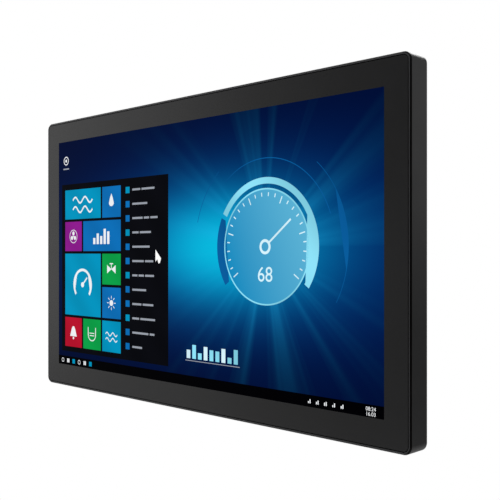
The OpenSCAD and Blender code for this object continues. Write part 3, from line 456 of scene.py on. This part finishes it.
dark_panel = Layer("picture_panel", PANEL, DEEP, lit("panel_dark", 0x08090F, 0.2))
dark_panel.add(rectangle(7, BAR_H + 6, 200, 200))
bottom_bar = Layer("picture_bar", PANEL, DEEP, lit("bar_black", 0x010103, 0.1))
bottom_bar.add(rectangle(0, 0, PIC_W, BAR_H))

COLOURS = {
    "blue": 0x0094BF, "deep": 0x0B6FB8, "magenta": 0x8E1B8E, "green": 0x0AA048, "red": 0xB8102C,
}
tiles = {}
for key, value in COLOURS.items():
    tiles[key] = Layer(f"picture_tiles_{key}", TILE, PANEL, lit(f"tile_{key}", value))
white = Layer("picture_marks_white", MARK, TILE, lit("mark_white", 0xF2F5F8, 0.06))
grey = Layer("picture_marks_grey", TILE, PANEL, lit("mark_grey", 0x9AA0AA, 0.06))

UNIT, GUTTER = 35.0, 3.0
STEP = UNIT + GUTTER
TILE_U, TILE_V = 14.0, BAR_H + 12


def tile(colour, column, row, wide=1, high=1):
    """A tile on the grid; returns its centre."""
    u, v = TILE_U + column * STEP, TILE_V + row * STEP
    w, h = UNIT + (wide - 1) * STEP, UNIT + (high - 1) * STEP
    tiles[colour].add(rectangle(u, v, w, h))
    return u + w / 2, v + h / 2


def gauge_mark(u, v, r):
    white.add(arc(u, v, r, r * 0.16, -40, 220), polygon(u, v, r * 0.16, 20))
    white.add(stroke([(u, v), (u + r * 0.5, v + r * 0.45)], r * 0.1))


def wave_mark(u, v, w):
    shares = [i / 24 for i in range(25)]
    for lift in (-0.16, 0.12):
        points = [(u + w * (f - 0.5), v + w * (lift + 0.09 * math.sin(4 * math.pi * f))) for f in shares]
        white.add(stroke(points, w * 0.05))


def bars_mark(u, v, w):
    for i, share in enumerate((0.35, 0.6, 0.45, 0.85, 0.7)):
        white.add(rectangle(u + w * (i * 0.2 - 0.48), v - w * 0.28, w * 0.13, w * 0.6 * share))


def drop_mark(u, v, r):
    points = [spoke(u, v, r, math.radians(200 + 10 * i)) for i in range(15)]
    white.add(points + [(u + r * 0.55, v + r * 0.85), (u, v + 1.9 * r), (u - r * 0.55, v + r * 0.85)])


def valve_mark(u, v, r):
    for way in (-1, 1):
        white.add([(u + way * r, v - r * 0.6), (u + way * 0.1, v), (u + way * r, v + r * 0.6)])
    white.add(rectangle(u - r * 0.07, v, r * 0.14, r * 0.7))
    white.add(rectangle(u - r * 0.4, v + r * 0.7, r * 0.8, r * 0.16))


def fan_mark(u, v, r):
    white.ring(u, v, r, r * 0.1)
    for turn in (90, 210, 330):
        white.add(polygon(*spoke(u, v, 0.45 * r, math.radians(turn)), r * 0.3, 20))
    white.add(polygon(u, v, r * 0.12, 16))


def bell_mark(u, v, r):
    half = [(1.0, -0.7), (0.62, -0.2), (0.5, 0.6), (0.2, 1.0)]
    outline = half + [(-across, up) for across, up in reversed(half)]
    white.add([(u + across * r, v + up * r) for across, up in outline])
    white.add(polygon(u, v - r, r * 0.22, 16))


def lamp_mark(u, v, r):
    white.add(polygon(u, v, r * 0.42, 28))
    for i in range(8):
        white.add(stroke([spoke(u, v, r * share, math.radians(45 * i)) for share in (0.62, 1.0)], r * 0.12))


def tank_mark(u, v, r):
    turns = [math.radians(180 + 7.5 * i) for i in range(25)]
    outer, inner = [spoke(u, v, r, a) for a in turns], [spoke(u, v, 0.86 * r, a) for a in reversed(turns)]
    white.add([(u - r, v + r), *outer, (u + r, v + r), (u + 0.86 * r, v + r), *inner, (u - 0.86 * r, v + r)])
    white.add(rectangle(u - r * 0.6, v + 0.1 * r, 1.2 * r, r * 0.12))
    white.add(rectangle(u - r * 0.55, v - 0.25 * r, 1.1 * r, r * 0.12))


wave_mark(*tile("blue", 0, 4, wide=2), 40)
drop_mark(*tile("deep", 2, 4), 5)
fan_mark(*tile("magenta", 0, 3), 8)
bars_mark(*tile("deep", 1, 3, wide=2), 34)
gauge_mark(*tile("blue", 0, 1, wide=2, high=2), 19)
valve_mark(*tile("green", 2, 2), 8)
lamp_mark(*tile("deep", 2, 1), 8)
bell_mark(*tile("red", 0, 0), 7)
tank_mark(*tile("green", 1, 0), 8)
wave_mark(*tile("blue", 2, 0), 22)

# the list beside the tiles: a small square and grey dashes in each row, with the lengths of the dashes
LIST_U, LIST_V = 134.0, TILE_V + 5 * STEP - GUTTER
ROW_STEP, DASH_H, DASH_GAP = 15.6, 2.2, 2.2
WORDS = (
    (14, 22), (26,), (18, 9, 12), (11, 19), (30,), (20, 14),
    (9, 9, 15), (24,), (16, 18), (12, 25), (28, 8), (17,),
)
for index, words in enumerate(WORDS):
    v = LIST_V - 6 - index * ROW_STEP
    tiles["deep" if index % 3 else "blue"].add(rectangle(LIST_U, v - 3.5, 7, 7))
    u = LIST_U + 12
    for length in words:
        grey.add(rectangle(u, v - DASH_H / 2, length, DASH_H))
        u += length + DASH_GAP

# the gauge in the bright haze
GU, GV = GAUGE
DIAL_R, RING_R, RING_W = 54, 64, 6
TICK_OUTER, TICK_INNER, LONG_TICK_INNER = 50, 46.5, 43
SCALE_START, SCALE_STEP, NEEDLE_TURN = -35, 10, 38
dial_shade = sweep("dial_blue", 0x0588BE, 0x62B8D8, (GU - DIAL_R, GV - 20), (GU + 60, GV + 30))
dial = Layer("picture_dial", PANEL, DEEP, dial_shade)
dial.add(polygon(GU, GV, DIAL_R, 96))
rings = Layer("picture_rings", TILE, PANEL, lit("ring_cyan", 0x8FE4FA, 0.25, 120))
rings.add(arc(GU, GV, RING_R, RING_W, SCALE_START, 150, 90)).ring(GU, GV, DIAL_R, 1.4, 120)
pale = Layer("picture_pale", TILE, PANEL, lit("ring_pale", 0xD8F6FF, 0.1, 80))
faint = Layer("picture_faint", PANEL, DEEP, lit("ring_faint", 0x0A5C9C, 0.3, 160))
faint.add(arc(GU, GV, RING_R, RING_W, 154, 215, 40))
for i in range(26):
    turn = math.radians(SCALE_START + SCALE_STEP * i)
    tick_inner = TICK_INNER if i % 5 else LONG_TICK_INNER
    pale.add(stroke([spoke(GU, GV, r, turn) for r in (tick_inner, TICK_OUTER)], 1.1))
pale.add(stroke([spoke(GU, GV, r, math.radians(NEEDLE_TURN)) for r in (5, 40)], 1.9))
pale.ring(GU, GV, 7, 2.6)
# thin arcs outside the dial: radius, width, start and end in degrees, steps
for row in ((82, 0.8, 20, 130, 60), (96, 0.6, -30, 50, 60), (96, 0.6, 130, 165, 30)):
    faint.add(arc(GU, GV, *row))

# bar chart under the gauge
CHART_U, CHART_V, CHART_STEP = 236, 28, 8.5
for i in range(9):
    height = 5 + 9 * abs(math.sin(1.3 * i + 0.4))
    (rings if i % 3 else pale).add(rectangle(CHART_U + CHART_STEP * i, CHART_V, 5.5, height))
grey.add(rectangle(CHART_U - 2, 25.4, 78, 0.7))

# marks on the bottom bar: rings, pairs of strips and squares by turns, then small level marks at the right
BAR_V = BAR_H / 2
for i in range(6):
    u = 9 + 11.5 * i
    if i % 3 == 0:
        white.ring(u, BAR_V, 2.6, 0.7, 32)
    elif i % 3 == 1:
        white.add(rectangle(u - 2.3, BAR_V - 2.3, 2, 4.6), rectangle(u + 0.3, BAR_V - 2.3, 2, 4.6))
    else:
        tiles["blue"].add(rectangle(u - 2.6, BAR_V - 2.6, 5.2, 5.2))
for i in range(5):
    u = PIC_W - 80 + 9 * i
    white.add(rectangle(u, BAR_V - 2, 1.1, 1.6 + 0.5 * (i % 3)), rectangle(u + 1.8, BAR_V - 2, 1.1, 3.4))

# corner mark with its caption, and the pointer beside the list
white.add(polygon(16, 245, 1.8, 20)).ring(16, 245, 5.2, 1.1)
grey.add(rectangle(10, 234.5, 12, 1.6))
POINTER_U, POINTER_V = 186, 138
pointer = [(0, 0), (0, -13), (3.1, -10.2), (5.2, -15), (7.4, -14), (5.3, -9.4), (9.3, -9.4)]
pointer_layer = Layer("picture_pointer", TOP, MARK, lit("pointer_white", 0xFFFFFF, 0.04))
pointer_layer.add([(POINTER_U + u, POINTER_V + v) for u, v in pointer])

# a font size for each unit of figure height
FONT_SIZE = 1.4


def digits(name, text, u, v, height, material, align="RIGHT"):
    """Plain figures as thin plates on the picture."""
    font = bpy.data.curves.new(name, "FONT")
    font.body, font.size, font.align_x = text, height * MM * FONT_SIZE, align
    font.extrude = 0.01 * MM
    temp = bpy.data.objects.new(name, font)
    bpy.context.scene.collection.objects.link(temp)
    bpy.context.view_layer.update()
    data = bpy.data.meshes.new_from_object(temp.evaluated_get(bpy.context.evaluated_depsgraph_get()))
    bpy.data.objects.remove(temp)
    bpy.data.curves.remove(font)
    x, z = at(u, v)
    for vertex in data.vertices:
        a, b, depth = vertex.co
        vertex.co = (x + a, FRONT + MARK * MM - depth, z + b)
    data.name = name
    data.materials.clear()
    return new_piece(name, data, material)


FIGURE = lit("figure_white", 0xF4F6F8, 0.05)
digits("picture_clock", "08:24", PIC_W - 8, 5.4, 3.3, FIGURE)
digits("picture_date", "16.03", PIC_W - 8, 1.2, 3.3, FIGURE)
digits("picture_value", "68", GU, GV - 32, 14, lit("figure_pale", 0xD8F6FF, 0.05), "CENTER")
for layer in (dark_panel, bottom_bar, *tiles.values(), white, grey, dial, rings, pale, faint, pointer_layer):
    layer.done()


# ---------------------------------------------------------------- printed border of the cover glass
def rounded_outline(low, high, inset, radius, steps):
    """Points round a rectangle with round corners, inset from a box's x and z."""
    right, left, top, bottom = high.x - radius, low.x + radius, high.z - radius, low.z + radius
    points = []
    for cx, cz, start in ((right, top, 0), (left, top, 90), (left, bottom, 180), (right, bottom, 270)):
        for i in range(steps + 1):
            points.append(spoke(cx, cz, radius - inset, math.radians(start + 90 * i / steps)))
    return points


def printed_border():
    """The glass outside the picture: a plate with a tiny ground edge and a window for the picture."""
    bm = bmesh.new()
    edge = 0.5 * MM
    loops = []
    for y, inset in ((FRONT, edge), (FRONT + edge, 0.0), (glass_high.y, 0.0)):
        outline = rounded_outline(glass_low, glass_high, inset, GLASS_CORNER, 12)
        loops.append([bm.verts.new((x, y, z)) for x, z in outline])
    for first, second in zip(loops, loops[1:]):
        join_loops(bm, first, second)
    window = [(PIC_LEFT, PIC_BOTTOM), (PIC_RIGHT, PIC_BOTTOM), (PIC_RIGHT, PIC_TOP), (PIC_LEFT, PIC_TOP)]
    near, far = ([bm.verts.new((x, y, z)) for x, z in window] for y in (FRONT, glass_high.y))
    join_loops(bm, near, far)
    for outline, hole in ((loops[0], near), (loops[-1], far)):
        edges = []
        for loop in (outline, hole):
            edges += [bm.edges.get((loop[i - 1], loop[i])) for i in range(len(loop))]
        bmesh.ops.triangle_fill(bm, use_beauty=True, edges=edges)
    return new_piece("glass_border", bm, GLASS_PRINT)


border_piece = printed_border()
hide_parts("cover_glass")
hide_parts("cover_glass")


# ---------------------------------------------------------------- screws on the back
def islands(mesh):
    """The points of each separate solid of a mesh."""
    owner = list(range(len(mesh.vertices)))

    def root(i):
        while owner[i] != i:
            owner[i] = owner[owner[i]]
            i = owner[i]
        return i

    first_at = {}
    for vertex in mesh.vertices:
        place = tuple(round(c / MM, 3) for c in vertex.co)
        owner[vertex.index] = first_at.setdefault(place, vertex.index)
    for edge in mesh.edges:
        owner[root(edge.vertices[0])] = root(edge.vertices[1])
    groups = {}
    for vertex in mesh.vertices:
        groups.setdefault(root(vertex.index), []).append(vertex.co.copy())
    return groups.values()


# shares of a screw head's height where its round top begins, and how far in it comes
TOP_HEIGHT, TOP_INWARD = 0.55, 0.5
# the hexagon's half width, then the shares of it and the depths of its bevel and floor, by the head's radius
SOCKET, SOCKET_STEPS = 0.5, ((1.06, 0.0), (1.0, 0.03), (1.0, 0.4))


def socket_screws(node, material):
    """Screws with a hexagon socket in place of a node's plain ones; a raised head gets a round top."""
    bm = bmesh.new()
    sides, sixth = 36, math.pi / 3
    turns = [2 * math.pi * i / sides for i in range(sides)]
    for points in islands(NODES[node].data):
        cx, cz = ((min(p[k] for p in points) + max(p[k] for p in points)) / 2 for k in (0, 2))
        radii = {}
        for p in points:
            radii.setdefault(round(p.y / MM, 2), set()).add(round(math.hypot(p.x - cx, p.z - cz) / MM, 2))
        profile = [(r * MM, y * MM) for y in sorted(radii) for r in sorted(radii[y])]
        head, top = profile[-1]
        if profile[-2][0] == head:
            tall = top - profile[-2][1]
            across, up = TOP_INWARD * tall, TOP_HEIGHT * tall
            profile[-1] = (head, top - up)
            for a in (math.radians(degrees) for degrees in (25, 50, 72, 90)):
                profile.append((head - across * (1 - math.cos(a)), top - up * (1 - math.sin(a))))
        socket = [head * SOCKET / math.cos((t + sixth / 2) % sixth - sixth / 2) for t in turns]
        loops = [[(r, y)] * sides for r, y in profile]
        for share, drop in SOCKET_STEPS:
            loops.append([(r * share, top - drop * head) for r in socket])
        rows = []
        for loop in loops:
            places = [(*spoke(cx, cz, r, t), y) for (r, y), t in zip(loop, turns)]
            rows.append([bm.verts.new((x, y, z)) for x, z, y in places])
        for first, second in zip(rows, rows[1:]):
            join_loops(bm, first, second)
        bm.faces.new(rows[0][::-1])
        bm.faces.new(rows[-1])
    piece = new_piece(node + "_shaped", bm, material)
    piece.data.set_sharp_from_angle(angle=math.radians(32))
    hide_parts(node)


for entry in frame["record"]["subparts"]:
    if entry["node"] in ("cover_screws", "heat_sink_screws"):
        socket_screws(entry["node"], SLOT_PAINT[entry["material_slot"]])


# ---------------------------------------------------------------- return springs of the buttons
COIL_TURNS, COIL_STEPS, WIRE_SIDES, WIRE = 4, 128, 10, 0.35 * MM


def press_spring(node):
    """A coil spring of wire in place of a node's plain one, filling its box from bottom to top."""
    low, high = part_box(node)
    middle, reach = (low + high) / 2, (high.x - low.x) / 2 - WIRE
    bottom, rise = low.z + WIRE, high.z - low.z - 2 * WIRE
    up = Vector((0, 0, 1))
    bm = bmesh.new()
    loops = []
    for i in range(COIL_STEPS + 1):
        share = i / COIL_STEPS
        x, y = spoke(0.0, 0.0, 1.0, 2 * math.pi * COIL_TURNS * share)
        out = Vector((x, y, 0.0))
        centre = Vector((middle.x, middle.y, bottom + rise * share)) + out * reach
        section = polygon(0.0, 0.0, WIRE, WIRE_SIDES)
        loops.append([bm.verts.new(centre + out * a + up * b) for a, b in section])
    for first, second in zip(loops, loops[1:]):
        join_loops(bm, first, second)
    bm.faces.new(loops[0])
    bm.faces.new(loops[-1][::-1])
    piece = new_piece(node + "_coil", bm, STEEL)
    for face in piece.data.polygons:
        face.use_smooth = len(face.vertices) == 4
    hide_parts(node)
    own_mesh(piece)


press_spring("power_spring")
press_spring("reset_spring")


# ---------------------------------------------------------------- floor, backdrop and light
WHITE = (1.0, 1.0, 1.0, 1.0)
FLOOR_SIZE, FLOOR_LEVEL, FLOOR_COLOUR = 6.0, -0.9, (0.65, 0.65, 0.65, 1.0)
# from here to here, in metres from the object, the floor fades into the white backdrop
FADE_START, FADE_END = 1.3, 2.1
FLOOR_SHARE, FLOOR_MIRRORED = 0.8, 0.08
WORLD = 0.036
BACKDROP_SIDE, BACKDROP_FALL = math.radians(115), 3.0


def seen_rays(nodes, direct, reflected):
    """A mixing share: direct for camera and transmission rays, reflected for glossy ones."""
    path = nodes.node("ShaderNodeLightPath").outputs
    straight = nodes.math("ADD", path["Is Camera Ray"], path["Is Transmission Ray"], clamp=True)
    mirrored = nodes.math("MULTIPLY", path["Is Glossy Ray"], reflected)
    return nodes.math("MULTIPLY_ADD", straight, direct, mirrored, clamp=True)


def pale_floor():
    """A floor that keeps the shadow under the object, and further out runs into the white backdrop."""
    mesh = bpy.data.meshes.new("floor")
    corners = [(x * FLOOR_SIZE, y * FLOOR_SIZE, FLOOR_LEVEL) for x, y in ((-1, -1), (1, -1), (1, 1), (-1, 1))]
    mesh.from_pydata(corners, [], [(0, 1, 2, 3)])
    floor = bpy.data.objects.new("floor", mesh)
    bpy.context.scene.collection.objects.link(floor)
    p = Paint("floor_white")
    p.shader(Base_Color=FLOOR_COLOUR, Roughness=0.9)
    white_sheet = p.node("ShaderNodeEmission")
    white_sheet.inputs["Color"].default_value = WHITE
    distance = p.node("ShaderNodeVectorMath", operation="LENGTH")
    p.link(p.coords, distance.inputs[0])
    direct = p.remap(distance.outputs["Value"], FLOOR_SHARE, 1.0, FADE_START, FADE_END, "SMOOTHSTEP")
    mixed = p.mix_shaders(seen_rays(p, direct, FLOOR_MIRRORED), p.bsdf, white_sheet)
    p.link(mixed, p.tree.nodes["Material Output"].inputs[0])
    mesh.materials.append(p.mat)


def backdrop_and_world():
    """Plain light from all round; a reflected backdrop is whitest at the left and fades towards the front."""
    world = bpy.data.worlds.new("studio")
    bpy.context.scene.world = world
    world.use_nodes = True
    w = Nodes(world.node_tree)
    plain = w.tree.nodes["Background"]
    plain.inputs["Color"].default_value = WHITE
    plain.inputs["Strength"].default_value = WORLD
    backdrop = w.node("ShaderNodeBackground")
    backdrop.inputs["Color"].default_value = WHITE
    towards = (-math.sin(BACKDROP_SIDE), -math.cos(BACKDROP_SIDE), 0.0)
    facing = w.dot(w.node("ShaderNodeTexCoord").outputs["Generated"], towards)
    reflected = w.math("POWER", w.math("MULTIPLY_ADD", facing, 0.5, 0.5, clamp=True), BACKDROP_FALL)
    mixed = w.mix_shaders(seen_rays(w, 1.0, reflected), plain, backdrop)
    w.link(mixed, w.tree.nodes["World Output"].inputs[0])


def softbox(name, azimuth, elevation, distance, width, height, power):
    """An area lamp aimed at the middle of the front. Azimuth 0 is in front, 90 to the left, 180 behind."""
    a, e = math.radians(azimuth), math.radians(elevation)
    away = Vector((-math.sin(a) * math.cos(e), -math.cos(a) * math.cos(e), math.sin(e)))
    light = bpy.data.lights.new(name, "AREA")
    light.shape, light.size, light.size_y = "RECTANGLE", width, height
    light.energy = power
    lamp = bpy.data.objects.new(name, light)
    bpy.context.scene.collection.objects.link(lamp)
    lamp.location = away * distance
    lamp.rotation_mode = "QUATERNION"
    lamp.rotation_quaternion = (-away).to_track_quat("-Z", "Y")


# name, azimuth and elevation in degrees, distance, width and height in metres, power in watts
LAMPS = (
    ("key_high", -10, 50, 2.4, 1.8, 1.4, 60),
    ("front_low", 34, -10, 2.2, 1.2, 1.2, 0.6),
    ("left_near", 50, 0, 2.2, 1.2, 1.6, 0.7),
    ("left_far", 60, 0, 2.2, 1.2, 1.6, 1.4),
    ("right_low", 213, 5, 2.4, 1.6, 1.2, 0.4),
    ("right_mid", 213, 15, 2.4, 1.6, 1.2, 2.0),
    ("back_high", 160, 35, 2.4, 1.6, 1.2, 24),
    ("right_fill", 270, 25, 2.4, 1.2, 1.2, 18),
)
pale_floor()
backdrop_and_world()
for lamp_row in LAMPS:
    softbox(*lamp_row)

# ---------------------------------------------------------------- camera
# fitted to the corners and edges of the frame and the picture in the photo
LENS, SENSOR, SHIFT_UP = 57.8, 36.0, 0.0064
CAMERA_RIGHT, CAMERA_BEFORE, VIEW_DIRECTION = 0.6124, 0.5369, (-0.699, 0.715, 0.0)
camera_data = bpy.data.cameras.new("camera")
camera_data.lens, camera_data.sensor_width = LENS, SENSOR
camera_data.shift_y = SHIFT_UP
camera_data.clip_start = 0.05
camera = bpy.data.objects.new("camera", camera_data)
bpy.context.scene.collection.objects.link(camera)
camera.location = (CAMERA_RIGHT, FRONT - CAMERA_BEFORE, 0.0)
camera.rotation_mode = "QUATERNION"
camera.rotation_quaternion = Vector(VIEW_DIRECTION).to_track_quat("-Z", "Y")
bpy.context.scene.camera = camera

bpy.context.scene.view_settings.view_transform = "Standard"
